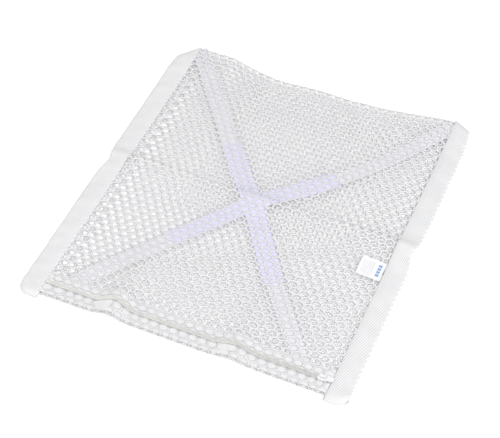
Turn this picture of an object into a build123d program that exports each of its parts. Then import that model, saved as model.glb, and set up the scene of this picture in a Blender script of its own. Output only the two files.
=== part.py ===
"""Flat mesh laundry bag with bound sides, a front zipper and crossed inner straps.

Millimetres. X runs across the bag, Y from the zipped front edge to the folded rear
edge, Z up. The origin is the middle of the footprint, on the surface it lies on.

The bag folds in half along a crease across its middle, so every fabric piece that
crosses the crease is made as a front part and a rear part, with a small gap between.
"""
import os
from math import atan2, degrees, hypot

from build123d import *

# Whole bag
BAG_WIDTH = 400.0
BAG_DEPTH = 450.0
BAG_HEIGHT = 9.0          # empty bag, held open by its storage creases
SEAM_HEIGHT = 5.4         # thickness along the bound and folded edges
NET = 1.0                 # net thickness
CREASE_Y = 8.0            # line that the bag folds on
CREASE_GAP = 0.3          # gap between the front and the rear part of a piece
LAYER = 0.8               # thickness of a strap or band
STITCH = 0.2              # how far thread stands above the cloth
TOUCH = 0.1               # clearance between neighbouring soft pieces

# Side binding tapes
TAPE_WIDTH = 26.0
TAPE_EDGE_RADIUS = 2.2
FRONT_CORNER_RADIUS = 10.0
REAR_CORNER_CUT = 12.0

# Net panels
NET_X = BAG_WIDTH / 2 - TAPE_WIDTH
FRONT_FOLD_Y = -219.0
REAR_FOLD_Y = 221.7
SIDE_SLOPE = 14.0         # run over which the top net drops to the side seams
FRONT_SLOPE = 14.0
REAR_SLOPE = 16.0

# Zipper, which lies across the bag just behind the front fold
ZIP_Y = -201.0
CHAIN_HALF = 3.0          # half the width of the two meshed coils
CHAIN_GAP = 0.8           # channel between the coils for the slider's post
CHAIN_BOTTOM = 4.0
CHAIN_TOP = 6.2
ZIP_TAPE = 0.6
ZIP_TAPE_TOP = 4.4
ZIP_TAPE_WIDTH = 12.5
NET_BACK_FROM_CHAIN = 4.0

# Slider and pull
SLIDER_X = 164.0
SLIDER_LENGTH = 11.0
SLIDER_WIDTH = 8.6
PLATE_LOW = (3.1, 3.6)
PLATE_HIGH = (6.4, 7.2)
BRIDGE_HALF = 4.0
BRIDGE_WIDTH = 2.2
BRIDGE_TOP = 9.4
BRIDGE_BAR = 0.8
PULL_Z = 7.9
PULL_RADIUS = 0.55
PULL_WIDTH = 6.0
PULL_ARM = 1.0
PULL_EYE = 5.0
PULL_LENGTH = 13.0

# Inner straps: white webbing from the corners, fastening bands towards the middle
STRAP_WIDTH = 20.0
BAND_WIDTH = 24.0
CROSSING = (-5.0, -2.0)
LOW_LEVEL = NET + TOUCH
HIGH_LEVEL = LOW_LEVEL + LAYER + TOUCH
STRAPS = {
    "rear_left": {"band_end": (-69.0, 77.0), "corner": (-176.0, 216.0), "level": LOW_LEVEL},
    "rear_right": {"band_end": (75.0, 73.0), "corner": (174.0, 212.0), "level": HIGH_LEVEL},
    "front_left": {"band_end": (-72.0, -91.0), "corner": (-166.0, -214.0), "level": HIGH_LEVEL},
    "front_right": {"band_end": (66.0, -103.0), "corner": (150.0, -214.0), "level": LOW_LEVEL},
}
OPPOSITE = {"front_left": "rear_right", "front_right": "rear_left"}

# Care label, sewn into the right tape's seam in front of the crease
LABEL_Y = -37.0
LABEL_WIDTH = 28.0
LABEL_LENGTH = 32.0
LABEL = 0.4

FRONT_PART = (-BAG_DEPTH / 2, CREASE_Y - CREASE_GAP / 2)
REAR_PART = (CREASE_Y + CREASE_GAP / 2, BAG_DEPTH / 2)


def block(x_span, y_span, z_span):
    """A box between two corners, given as one span for each axis."""
    size = [high - low for low, high in (x_span, y_span, z_span)]
    corner = Pos(x_span[0], y_span[0], z_span[0])
    return corner * Box(*size, align=(Align.MIN, Align.MIN, Align.MIN))


def along_y(points, y_span):
    """A section of (x, z) points, extruded along Y."""
    outline = Polyline(*[(x, y_span[0], z) for x, z in points], close=True)
    return extrude(make_face(outline), amount=y_span[1] - y_span[0], dir=(0, 1, 0))


def along_x(points, x_span):
    """A section of (y, z) points, extruded along X."""
    outline = Polyline(*[(x_span[0], y, z) for y, z in points], close=True)
    return extrude(make_face(outline), amount=x_span[1] - x_span[0], dir=(1, 0, 0))


def strip(start, end, width, z_span):
    """A flat strip of webbing laid from one point to another."""
    length = hypot(end[0] - start[0], end[1] - start[1])
    angle = degrees(atan2(end[1] - start[1], end[0] - start[0]))
    middle = ((start[0] + end[0]) / 2, (start[1] + end[1]) / 2, sum(z_span) / 2)
    return Pos(*middle) * Rot(0, 0, angle) * Box(length, width, z_span[1] - z_span[0])


def between(start, end, distance):
    """The point that lies a distance from start on the line to end."""
    share = distance / hypot(end[0] - start[0], end[1] - start[1])
    return (start[0] + share * (end[0] - start[0]), start[1] + share * (end[1] - start[1]))


# Net panels

def tent(drop):
    """The space under the top net, from the seams up to its crown, lowered by drop."""
    edge = SEAM_HEIGHT - drop
    crown = BAG_HEIGHT - drop
    base = SEAM_HEIGHT - NET - drop
    front = ZIP_Y + NET_BACK_FROM_CHAIN
    shelf = ZIP_Y + CHAIN_HALF + ZIP_TAPE_WIDTH
    rear = REAR_FOLD_Y - NET
    across = [
        (-NET_X, base),
        (NET_X, base),
        (NET_X, edge),
        (NET_X - SIDE_SLOPE, crown),
        (SIDE_SLOPE - NET_X, crown),
        (-NET_X, edge),
    ]
    lengthwise = [
        (front, base),
        (rear, base),
        (rear, edge),
        (rear - REAR_SLOPE, crown),
        (shelf + FRONT_SLOPE, crown),
        (shelf, edge),
        (front, edge),
    ]
    return along_y(across, (front, rear)) & along_x(lengthwise, (-NET_X, NET_X))


def top_net(part):
    """The top net within one half of the bag: a low tent with open ends."""
    shell = tent(0.0) - tent(NET)
    return shell & block((-NET_X, NET_X), part, (0.0, BAG_HEIGHT))


def bottom_net(part):
    """The bottom net, flat on the surface."""
    low = max(part[0], FRONT_FOLD_Y)
    high = min(part[1], REAR_FOLD_Y - NET)
    return block((-NET_X, NET_X), (low, high), (0.0, NET))


def front_net_fold():
    """The net that turns up at the front and runs back to the zipper."""
    inner_edge = ZIP_Y - NET_BACK_FROM_CHAIN
    section = [
        (FRONT_FOLD_Y, NET),
        (FRONT_FOLD_Y + NET, NET),
        (FRONT_FOLD_Y + NET, SEAM_HEIGHT - NET),
        (inner_edge, SEAM_HEIGHT - NET),
        (inner_edge, SEAM_HEIGHT),
        (FRONT_FOLD_Y, SEAM_HEIGHT),
    ]
    return along_x(section, (-NET_X, NET_X))


def rear_net_fold():
    """The upright turn of net that joins the bottom to the top at the rear."""
    return block((-NET_X, NET_X), (REAR_FOLD_Y - NET, REAR_FOLD_Y), (0.0, SEAM_HEIGHT))


# Side binding

def side_tape(side, part):
    """Twill tape folded over the net's edges; side is -1 for the left, 1 for the right."""
    outer = side * BAG_WIDTH / 2
    x_span = sorted((outer, side * NET_X))
    folded = block(x_span, part, (0.0, SEAM_HEIGHT))
    folded = fillet(folded.edges().filter_by(Axis.Y).sort_by(Axis.X)[::side][-2:], TAPE_EDGE_RADIUS)
    outline = block(x_span, part, (0.0, SEAM_HEIGHT))
    end_axis = Axis.Y if part == REAR_PART else -Axis.Y
    corner = outline.edges().filter_by(Axis.Z).sort_by(end_axis)[-2:].sort_by(Axis.X)[::side][-1]
    if part == FRONT_PART:
        outline = fillet(corner, FRONT_CORNER_RADIUS)
    else:
        outline = chamfer(corner, REAR_CORNER_CUT)
    return folded & outline


def side_stitches(side, part):
    """The seam's thread, a row along the tape's inner edge."""
    row = side * (NET_X + 3.0)
    end_room = 6.0
    low = part[0] + end_room if part == FRONT_PART else part[0]
    high = part[1] if part == FRONT_PART else part[1] - end_room
    return block((row - STITCH, row + STITCH), (low, high), (SEAM_HEIGHT, SEAM_HEIGHT + STITCH))


# Zipper

def zipper_tape(side):
    """One woven zipper tape; side is -1 in front of the chain, 1 behind it."""
    inner = ZIP_Y + side * CHAIN_HALF
    y_span = sorted((inner, inner + side * ZIP_TAPE_WIDTH))
    return block((-NET_X, NET_X), y_span, (ZIP_TAPE_TOP - ZIP_TAPE, ZIP_TAPE_TOP))


def zipper_coil(side):
    """One side of the chain, as a bar with the coil's rounded top edges."""
    y_span = sorted((ZIP_Y + side * CHAIN_GAP / 2, ZIP_Y + side * CHAIN_HALF))
    coil = block((-NET_X, NET_X), y_span, (CHAIN_BOTTOM, CHAIN_TOP))
    top_edges = coil.faces().sort_by(Axis.Z)[-1].edges().filter_by(Axis.X)
    return fillet(top_edges, 0.9)


def zipper_end_tacks():
    """Bars of thread over the chain at both ends, which stop the slider."""
    bar_width = 1.4
    y_span = (ZIP_Y - CHAIN_HALF, ZIP_Y + CHAIN_HALF)
    z_span = (CHAIN_TOP, CHAIN_TOP + 2 * STITCH)
    bars = []
    for side in (-1, 1):
        x_middle = side * (NET_X - 2.0)
        bars.append(block((x_middle - bar_width / 2, x_middle + bar_width / 2), y_span, z_span))
    return Compound(children=bars)


def zipper_stitches():
    """The two seams that hold the nets to the zipper tapes."""
    seam_from_chain = 3.5
    rows = []
    for side in (-1, 1):
        row = ZIP_Y + side * (CHAIN_HALF + seam_from_chain)
        span = (row - STITCH, row + STITCH)
        rows.append(block((-NET_X, NET_X), span, (SEAM_HEIGHT, SEAM_HEIGHT + STITCH)))
    return Compound(children=rows)


def slider_body():
    """Two plates joined by a post between the coils, with a bridge for the pull."""
    x_span = (SLIDER_X - SLIDER_LENGTH / 2, SLIDER_X + SLIDER_LENGTH / 2)
    y_span = (ZIP_Y - SLIDER_WIDTH / 2, ZIP_Y + SLIDER_WIDTH / 2)
    plates = []
    for z_span in (PLATE_LOW, PLATE_HIGH):
        plate = block(x_span, y_span, z_span)
        plates.append(fillet(plate.edges().filter_by(Axis.Z), 2.4))
    post = block(
        (x_span[0] + 1.5, x_span[0] + 5.0),
        (ZIP_Y - 0.25, ZIP_Y + 0.25),
        (PLATE_LOW[1], PLATE_HIGH[0]),
    )
    bridge_y = (ZIP_Y - BRIDGE_WIDTH / 2, ZIP_Y + BRIDGE_WIDTH / 2)
    bridge = block((SLIDER_X - BRIDGE_HALF, SLIDER_X + BRIDGE_HALF), bridge_y, (PLATE_HIGH[1], BRIDGE_TOP))
    bridge = fillet(bridge.faces().sort_by(Axis.Z)[-1].edges().filter_by(Axis.Y), 1.2)
    eye_half = BRIDGE_HALF - 1.2
    eye = block((SLIDER_X - eye_half, SLIDER_X + eye_half), bridge_y, (PLATE_HIGH[1], BRIDGE_TOP - BRIDGE_BAR))
    return plates[0] + post + plates[1] + (bridge - eye)


def pull_tab():
    """A flat pull whose eye swings on the bridge; its cross bar is the hinge."""
    half = PULL_WIDTH / 2
    z_span = (PULL_Z - PULL_RADIUS, PULL_Z + PULL_RADIUS)
    bar = Pos(SLIDER_X, ZIP_Y, PULL_Z) * Rot(90, 0, 0) * Cylinder(PULL_RADIUS, PULL_WIDTH)
    plate = block((SLIDER_X, SLIDER_X + PULL_LENGTH), (ZIP_Y - half, ZIP_Y + half), z_span)
    plate = fillet(plate.edges().filter_by(Axis.Z).sort_by(Axis.X)[-2:], 2.5)
    inner = half - PULL_ARM
    eye = block((SLIDER_X, SLIDER_X + PULL_EYE), (ZIP_Y - inner, ZIP_Y + inner), z_span)
    return (plate - eye) + bar


# Inner straps

def inside(part):
    """The space between the side seams within one half of the bag."""
    low = max(part[0], FRONT_FOLD_Y + NET)
    high = min(part[1], REAR_FOLD_Y - NET)
    return block((-NET_X, NET_X), (low, high), (0.0, BAG_HEIGHT))


def half_of(name):
    """The half of the bag that a strap's corner is in."""
    return FRONT_PART if name.startswith("front") else REAR_PART


def corner_strap(name):
    """White webbing from a corner seam to the end of its fastening band."""
    strap = STRAPS[name]
    z_span = (strap["level"], strap["level"] + LAYER)
    reach = hypot(*[c - b for c, b in zip(strap["corner"], strap["band_end"])]) + STRAP_WIDTH
    past_corner = between(strap["band_end"], strap["corner"], reach)
    webbing = strip(strap["band_end"], past_corner, STRAP_WIDTH, z_span)
    return (webbing & inside(half_of(name))) - fastening_band(name)


def fastening_band(name):
    """A hook-and-loop band; a front one runs through the crossing to the crease."""
    strap = STRAPS[name]
    z_span = (strap["level"], strap["level"] + LAYER)
    band = strip(strap["band_end"], CROSSING, BAND_WIDTH, z_span)
    if name in OPPOSITE:
        across = STRAPS[OPPOSITE[name]]["band_end"]
        band = band + strip(CROSSING, across, BAND_WIDTH, z_span)
        band = band + Pos(*CROSSING, sum(z_span) / 2) * Cylinder(BAND_WIDTH / 2, LAYER)
    return band & inside(half_of(name))


def band_stitches(half_name):
    """A stitched rectangle where each band is sewn to its strap."""
    boxes = []
    for side in ("left", "right"):
        strap = STRAPS[f"{half_name}_{side}"]
        top = strap["level"] + LAYER
        near = between(strap["band_end"], CROSSING, 3.0)
        far = between(strap["band_end"], CROSSING, 15.0)
        z_span = (top, top + TOUCH)
        outline = strip(near, far, STRAP_WIDTH - 4.0, z_span)
        middle = strip(between(near, far, 0.8), between(far, near, 0.8), STRAP_WIDTH - 5.6, z_span)
        boxes.append(outline - middle)
    return Compound(children=boxes)


def corner_tacks(half_name):
    """A bar of thread across each strap where it enters the corner seam."""
    bars = []
    for side in ("left", "right"):
        strap = STRAPS[f"{half_name}_{side}"]
        top = strap["level"] + LAYER
        near = between(strap["corner"], strap["band_end"], 16.0)
        far = between(strap["corner"], strap["band_end"], 17.6)
        bars.append(strip(near, far, STRAP_WIDTH - 4.0, (top, top + TOUCH)))
    return Compound(children=bars)


# Care label

def care_label():
    """A satin label that leaves the tape's seam and lies down on the net."""
    knee = NET_X - SIDE_SLOPE
    gap = 0.2
    free_end = NET_X - LABEL_LENGTH
    section = [
        (NET_X, SEAM_HEIGHT + gap),
        (NET_X, SEAM_HEIGHT + gap + LABEL),
        (knee, BAG_HEIGHT + gap + LABEL),
        (free_end, BAG_HEIGHT + gap + LABEL),
        (free_end, BAG_HEIGHT + gap),
        (knee, BAG_HEIGHT + gap),
    ]
    return along_y(section, (LABEL_Y - LABEL_WIDTH / 2, LABEL_Y + LABEL_WIDTH / 2))


def make_parts():
    """Every node of the bag, by name."""
    parts = {
        "front_net_fold": front_net_fold(),
        "rear_net_fold": rear_net_fold(),
        "zipper_tape_front": zipper_tape(-1),
        "zipper_tape_rear": zipper_tape(1),
        "zipper_coil_front": zipper_coil(-1),
        "zipper_coil_rear": zipper_coil(1),
        "zipper_end_tacks": zipper_end_tacks(),
        "zipper_seam_stitches": zipper_stitches(),
        "slider_body": slider_body(),
        "pull_tab": pull_tab(),
        "care_label": care_label(),
    }
    for half_name, part in (("front", FRONT_PART), ("rear", REAR_PART)):
        parts[f"bottom_net_{half_name}"] = bottom_net(part)
        parts[f"top_net_{half_name}"] = top_net(part)
        parts[f"{half_name}_band_stitches"] = band_stitches(half_name)
        parts[f"{half_name}_corner_tacks"] = corner_tacks(half_name)
        for side_name, side in (("left", -1), ("right", 1)):
            parts[f"{side_name}_tape_{half_name}"] = side_tape(side, part)
            parts[f"{side_name}_tape_stitches_{half_name}"] = side_stitches(side, part)
            parts[f"{half_name}_{side_name}_strap"] = corner_strap(f"{half_name}_{side_name}")
            parts[f"{half_name}_{side_name}_band"] = fastening_band(f"{half_name}_{side_name}")
    return parts


os.makedirs("parts", exist_ok=True)
for node, shape in make_parts().items():
    export_step(shape, f"parts/{node}.step")
    print(node, round(shape.volume, 1))
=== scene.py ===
"""Looks of the flat mesh laundry bag: net, bound sides, zipper, inner straps and label.

Metres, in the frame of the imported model. X runs across the bag, Y from the zipped
front edge to the folded rear edge, and Z up from the surface that the bag lies on.
"""
import logging
import math
from dataclasses import dataclass
from enum import Enum
from typing import Callable, Optional, Sequence

import bpy
import numpy as np
from mathutils import Matrix, Vector


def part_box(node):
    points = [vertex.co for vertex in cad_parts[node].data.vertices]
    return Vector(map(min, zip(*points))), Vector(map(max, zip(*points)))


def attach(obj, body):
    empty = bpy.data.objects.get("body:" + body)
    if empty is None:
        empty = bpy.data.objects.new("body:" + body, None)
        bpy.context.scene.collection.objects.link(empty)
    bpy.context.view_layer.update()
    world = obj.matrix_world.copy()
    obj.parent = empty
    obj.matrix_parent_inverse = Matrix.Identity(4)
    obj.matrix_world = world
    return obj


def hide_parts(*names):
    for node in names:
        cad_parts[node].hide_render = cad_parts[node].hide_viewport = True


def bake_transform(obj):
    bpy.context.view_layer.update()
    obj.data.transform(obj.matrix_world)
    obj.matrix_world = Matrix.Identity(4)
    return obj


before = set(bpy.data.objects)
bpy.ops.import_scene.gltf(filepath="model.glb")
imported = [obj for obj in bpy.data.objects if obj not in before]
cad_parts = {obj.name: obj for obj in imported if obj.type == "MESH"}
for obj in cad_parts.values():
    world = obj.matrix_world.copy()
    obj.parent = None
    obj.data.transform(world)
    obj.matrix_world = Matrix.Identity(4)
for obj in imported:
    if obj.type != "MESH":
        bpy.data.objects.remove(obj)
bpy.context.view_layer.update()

Piece = bpy.types.Object
Socket = bpy.types.NodeSocket

LOG = logging.getLogger("laundry_bag")
MM = 0.001
MERGE = 1e-6
NET_MERGE = 1e-5
CREASE_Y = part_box("left_tape_rear")[0].y
FRONT = "front_half"


# --- Bench tools -----------------------------------------------------------------------


def ease(share: np.ndarray) -> np.ndarray:
    """Smooth rise from 0 to 1 as share goes from 0 to 1."""
    share = np.clip(share, 0.0, 1.0)
    return share * share * (3.0 - 2.0 * share)


def bump(distance: np.ndarray, width: float) -> np.ndarray:
    """Soft round bump, 1 at distance 0 and falling off over width."""
    return np.exp(-((distance / width) ** 2))


def drop_selection() -> None:
    """Deselect every object, so that an operator acts only on what is chosen next."""
    if bpy.context.object is not None and bpy.context.object.mode != "OBJECT":
        bpy.ops.object.mode_set(mode="OBJECT")
    bpy.ops.object.select_all(action="DESELECT")


def take(obj: Piece) -> Piece:
    """Make obj the only selected and the active object."""
    drop_selection()
    obj.select_set(True)
    bpy.context.view_layer.objects.active = obj
    return obj


def seat(obj: Piece) -> Piece:
    """Bake the object's place, turn and scale into its mesh."""
    take(obj)
    bpy.ops.object.transform_apply(location=True, rotation=True, scale=True)
    return obj


def points_of(obj: Piece) -> np.ndarray:
    """The mesh's points, one row of x, y, z each."""
    flat = np.empty(len(obj.data.vertices) * 3)
    obj.data.vertices.foreach_get("co", flat)
    return flat.reshape(-1, 3)


def put_points(obj: Piece, points: np.ndarray) -> None:
    """Move the mesh's points to new places."""
    obj.data.vertices.foreach_set("co", points.astype(np.float32).ravel())
    obj.data.update()


def chart(obj: Piece, flat: np.ndarray) -> None:
    """Give the mesh a UV map that holds each point's place on the flat cloth.

    Args:
        obj: the piece, before it is draped.
        flat: one row of u, v in metres for each point of the mesh.
    """
    layer = obj.data.uv_layers.get("cloth") or obj.data.uv_layers.new(name="cloth")
    corner = np.empty(len(obj.data.loops), dtype=np.int32)
    obj.data.loops.foreach_get("vertex_index", corner)
    layer.data.foreach_set("uv", flat[corner].astype(np.float32).ravel())


def choose_nothing(obj: Piece) -> None:
    """Deselect, in object mode, all points, edges and faces of a piece."""
    for group in (obj.data.vertices, obj.data.edges, obj.data.polygons):
        group.foreach_set("select", [False] * len(group))


def choose_faces(obj: Piece, test: Callable[[Vector], bool]) -> None:
    """Select, in object mode, the faces whose middle passes a test."""
    choose_nothing(obj)
    for face in obj.data.polygons:
        face.select = test(face.center)
    obj.data.update()


def choose_edges_along(obj: Piece, axis: int) -> None:
    """Select, in object mode, the edges that run along one axis."""
    choose_nothing(obj)
    mesh = obj.data
    for edge in mesh.edges:
        run = mesh.vertices[edge.vertices[0]].co - mesh.vertices[edge.vertices[1]].co
        edge.select = abs(run[axis]) > 0.999 * run.length > 0.0
    mesh.update()


def edit(obj: Piece, kind: str = "EDGE") -> None:
    """Open obj in edit mode, working on points, edges or faces."""
    bpy.context.view_layer.objects.active = obj
    bpy.context.tool_settings.mesh_select_mode = (kind == "VERT", kind == "EDGE", kind == "FACE")
    bpy.ops.object.mode_set(mode="EDIT")


def leave_edit() -> None:
    """Close edit mode."""
    bpy.ops.object.mode_set(mode="OBJECT")


def cut_across(obj: Piece, axis: int, cuts: int) -> None:
    """Divide every edge that runs along an axis into cuts + 1 equal parts."""
    choose_edges_along(obj, axis)
    edit(obj)
    bpy.ops.mesh.subdivide(number_cuts=cuts, quadcorner="INNERVERT")
    leave_edit()


def block(name: str, low: Sequence[float], high: Sequence[float]) -> Piece:
    """A block between two corners, ready for shaping."""
    drop_selection()
    middle = [(a + b) / 2 for a, b in zip(low, high)]
    bpy.ops.mesh.primitive_cube_add(size=1.0, location=middle)
    obj = bpy.context.object
    obj.name = name
    obj.scale = [b - a for a, b in zip(low, high)]
    return seat(obj)


def apply_modifiers(obj: Piece) -> None:
    """Apply the object's modifiers in order."""
    take(obj)
    for modifier in list(obj.modifiers):
        bpy.ops.object.modifier_apply(modifier=modifier.name)


def repeat(obj: Piece, count: int, step: Sequence[float], merge: float = 0.0) -> None:
    """Copy the shape along a line, each copy a step from the last.

    Args:
        obj: the shape to copy.
        count: how many there are in the end.
        step: the way from one to the next.
        merge: distance within which neighbours' points join, or 0 for none.
    """
    row = obj.modifiers.new("row", "ARRAY")
    row.use_relative_offset = False
    row.use_constant_offset = True
    row.constant_offset_displace = step
    row.count = count
    if merge:
        row.use_merge_vertices = True
        row.merge_threshold = merge
    apply_modifiers(obj)


def drape_by(obj: Piece, move: Callable[[np.ndarray], np.ndarray]) -> None:
    """Chart a flat piece from its plan and lay it where a rule moves its points."""
    points = points_of(obj)
    chart(obj, points[:, :2])
    put_points(obj, move(points))


def bevel_along(obj: Piece, axis: int, offset: float, segments: int) -> None:
    """Round the edges that run along one axis."""
    choose_edges_along(obj, axis)
    edit(obj)
    bpy.ops.mesh.bevel(offset=offset, segments=segments, profile=0.5)
    leave_edit()


def pull_end(obj: Piece, way: Sequence[float], taper: Sequence[float]) -> None:
    """Extrude the chosen faces some way and scale their far end."""
    edit(obj, "FACE")
    bpy.ops.mesh.extrude_region_move(TRANSFORM_OT_translate={"value": way})
    bpy.ops.transform.resize(value=taper)
    leave_edit()


def tidy_normals(obj: Piece, merge: float = MERGE) -> None:
    """Merge doubled points and turn all faces outward."""
    take(obj)
    edit(obj, "VERT")
    bpy.ops.mesh.select_all(action="SELECT")
    bpy.ops.mesh.remove_doubles(threshold=merge)
    bpy.ops.mesh.normals_make_consistent(inside=False)
    leave_edit()


def smooth_shade(obj: Piece, angle: Optional[float] = None) -> None:
    """Shade smoothly, all over or only where faces meet at less than an angle."""
    take(obj)
    if angle is None:
        bpy.ops.object.shade_smooth()
    else:
        bpy.ops.object.shade_smooth_by_angle(angle=angle)


def join(pieces: Sequence[Piece], name: str) -> Piece:
    """Join several meshes into one piece."""
    drop_selection()
    for piece in pieces:
        piece.select_set(True)
    bpy.context.view_layer.objects.active = pieces[0]
    if len(pieces) > 1:
        bpy.ops.object.join()
    pieces[0].name = name
    return pieces[0]


# --- Finishes --------------------------------------------------------------------------


class Recipe:
    """A material in the making: nodes are added one by one and joined."""

    def __init__(self, name: str) -> None:
        """Start a material that has only its shader."""
        self.material = bpy.data.materials.new(name)
        self.material.use_nodes = True
        self.nodes = self.material.node_tree.nodes
        self.shader = self.nodes["Principled BSDF"]

    def add(self, kind: str, inputs: Optional[dict] = None, **settings: object) -> bpy.types.Node:
        """Add a node.

        Args:
            kind: the node's type.
            inputs: values for its sockets, by name or number.
            settings: values for its own settings.

        Returns:
            The new node.
        """
        node = self.nodes.new(kind)
        for key, value in settings.items():
            setattr(node, key, value)
        for key, value in (inputs or {}).items():
            node.inputs[key].default_value = value
        return node

    def link(self, source: Socket, target: Socket) -> None:
        """Join one node's output to another's input."""
        self.material.node_tree.links.new(source, target)

    def on_cloth(self) -> Socket:
        """The place on the flat cloth, from the piece's own UV map."""
        return self.add("ShaderNodeUVMap", uv_map="cloth").outputs["UV"]

    def on_object(self) -> Socket:
        """The place in the object's own coordinates."""
        return self.add("ShaderNodeTexCoord").outputs["Object"]

    def ribs(self, place: Socket, pitch: float, turn: float = 0.0, wander: float = 0.0) -> Socket:
        """Parallel ribs, 0 in the grooves and 1 on the crests.

        Args:
            place: where on the cloth.
            pitch: distance from rib to rib.
            turn: angle of the ribs' normal from U, in radians.
            wander: how much the ribs stray.

        Returns:
            The ribs' height.
        """
        turned = self.add("ShaderNodeMapping", vector_type="TEXTURE")
        turned.inputs["Rotation"].default_value = (0.0, 0.0, turn)
        self.link(place, turned.inputs["Vector"])
        wave = self.add(
            "ShaderNodeTexWave",
            {"Scale": 0.1 * math.pi / pitch, "Distortion": wander, "Detail": 1.0,
             "Detail Scale": 0.35},
            wave_type="BANDS", bands_direction="X", wave_profile="SIN",
        )
        self.link(turned.outputs["Vector"], wave.inputs["Vector"])
        return wave.outputs["Fac"]

    def speckle(self, place: Socket, size: float, detail: float = 2.0) -> Socket:
        """Cloudy variation with spots of about one size."""
        noise = self.add("ShaderNodeTexNoise", {"Scale": 1.0 / size, "Detail": detail, "Roughness": 0.6})
        self.link(place, noise.inputs["Vector"])
        return noise.outputs["Fac"]

    def mixed(self, kind: str, first: Socket, second: object) -> Socket:
        """The result of a sum on one socket and a second socket or number."""
        node = self.add("ShaderNodeMath", operation=kind)
        self.link(first, node.inputs[0])
        if isinstance(second, (int, float)):
            node.inputs[1].default_value = second
        else:
            self.link(second, node.inputs[1])
        return node.outputs[0]

    def shades(self, amount: Socket, low: Sequence[float], high: Sequence[float],
               start: float = 0.0, stop: float = 1.0) -> Socket:
        """Colour that goes from low to high as amount goes from start to stop."""
        ramp = self.add("ShaderNodeValToRGB")
        ramp.color_ramp.elements[0].position = start
        ramp.color_ramp.elements[0].color = (*low, 1.0)
        ramp.color_ramp.elements[1].position = stop
        ramp.color_ramp.elements[1].color = (*high, 1.0)
        self.link(amount, ramp.inputs["Fac"])
        return ramp.outputs["Color"]

    def colour(self, socket: Socket) -> None:
        """Use a socket as the surface's colour."""
        self.link(socket, self.shader.inputs["Base Color"])

    def raise_by(self, height: Socket, distance: float, strength: float = 1.0) -> None:
        """Use a socket as the surface's fine relief."""
        relief = self.add("ShaderNodeBump", {"Strength": strength, "Distance": distance})
        self.link(height, relief.inputs["Height"])
        self.link(relief.outputs["Normal"], self.shader.inputs["Normal"])

    def gloss(self, rough: float, sheen: float = 0.0, specular: float = 0.35) -> None:
        """Set the shader's own gloss and sheen."""
        self.shader.inputs["Roughness"].default_value = rough
        self.shader.inputs["Specular IOR Level"].default_value = specular
        self.shader.inputs["Sheen Weight"].default_value = sheen
        self.shader.inputs["Sheen Roughness"].default_value = 0.6


def tone(base: Sequence[float], factor: float) -> tuple:
    """A colour made darker or lighter by a factor."""
    return tuple(min(1.0, channel * factor) for channel in base)


@dataclass(frozen=True)
class YarnFinish:
    """Soft filament yarn with loops of thread along it."""

    name: str
    colour: tuple = (0.87, 0.86, 0.88)
    loop: float = 0.9 * MM
    relief: float = 0.12 * MM
    rough: float = 0.62
    sheen: float = 0.15
    see_through: float = 0.5
    light_reach: float = 2.5 * MM
    cover: float = 0.70

    def material(self) -> bpy.types.Material:
        """Make the material."""
        recipe = Recipe(self.name)
        place = recipe.on_cloth()
        loops = recipe.ribs(place, self.loop, math.radians(58.0), wander=1.2)
        patches = recipe.speckle(place, 14.0 * MM, 3.0)
        fibre = recipe.speckle(place, 0.35 * MM, 3.0)
        blend = recipe.mixed("MULTIPLY", loops, 0.35)
        blend = recipe.mixed("ADD", blend, recipe.mixed("MULTIPLY", patches, 0.65))
        recipe.colour(recipe.shades(blend, tone(self.colour, 0.93), tone(self.colour, 1.04), 0.2, 0.8))
        height = recipe.mixed("ADD", loops, recipe.mixed("MULTIPLY", fibre, 0.6))
        recipe.raise_by(height, self.relief, 0.8)
        recipe.gloss(self.rough, self.sheen)
        recipe.shader.inputs["Subsurface Weight"].default_value = self.see_through
        recipe.shader.inputs["Subsurface Radius"].default_value = (1.0, 1.0, 1.0)
        recipe.shader.inputs["Subsurface Scale"].default_value = self.light_reach
        recipe.shader.inputs["Alpha"].default_value = self.cover
        return recipe.material


@dataclass(frozen=True)
class TwillFinish:
    """Diagonal twill weave of a binding tape, with painted shade of its soft folds in large patches."""

    name: str
    colour: tuple = (0.70, 0.70, 0.71)
    rib: float = 2.6 * MM
    turn: float = math.radians(-20.0)
    relief: float = 0.32 * MM
    rough: float = 0.55

    def material(self) -> bpy.types.Material:
        """Make the material."""
        recipe = Recipe(self.name)
        place = recipe.on_cloth()
        ribs = recipe.ribs(place, self.rib, self.turn, wander=0.35)
        threads = recipe.ribs(place, 0.55 * MM, self.turn + math.radians(74.0))
        # The large patches are painted shade: they mottle the tape's colour as the light on its soft folds
        # does.
        patches = recipe.speckle(place, 22.0 * MM, 3.0)
        shade = recipe.mixed("MULTIPLY", patches, 0.45)
        shade = recipe.mixed("ADD", recipe.mixed("MULTIPLY", ribs, 0.55), shade)
        recipe.colour(recipe.shades(shade, tone(self.colour, 0.88), tone(self.colour, 1.08), 0.25, 0.75))
        height = recipe.mixed("ADD", ribs, recipe.mixed("MULTIPLY", threads, 0.18))
        recipe.raise_by(height, self.relief, 0.85)
        recipe.gloss(self.rough, 0.1, 0.4)
        return recipe.material


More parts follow.
